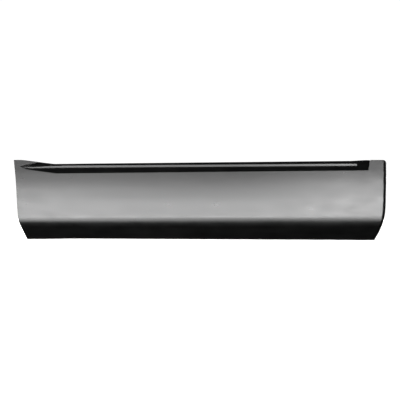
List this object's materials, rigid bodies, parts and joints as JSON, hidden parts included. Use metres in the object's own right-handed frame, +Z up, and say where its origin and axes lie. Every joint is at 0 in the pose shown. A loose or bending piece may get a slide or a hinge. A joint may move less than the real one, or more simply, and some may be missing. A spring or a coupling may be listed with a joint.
{
  "type": "car door molding",
  "caption": "Long black lower door molding: moulded panel with top channel and bead, rolled rear edge and slanted lower corners, ribbed back with clips.",
  "frame": {"origin": "axis of the centre locating pin in the plane of the door skin, halfway along the molding and halfway up it", "axes": "+X along the door towards the rear of the car, +Y into the car along the locating pins, +Z up"},
  "size_m": [1.0561, 0.0561, 0.227],
  "materials": {
    "molded_plastic": "satin black moulded plastic",
    "clip_nylon": "natural nylon"
  },
  "bodies": {
    "root": {"door_molding": "molded_plastic", "retainer_clips": "clip_nylon"}
  },
  "joints": []
}
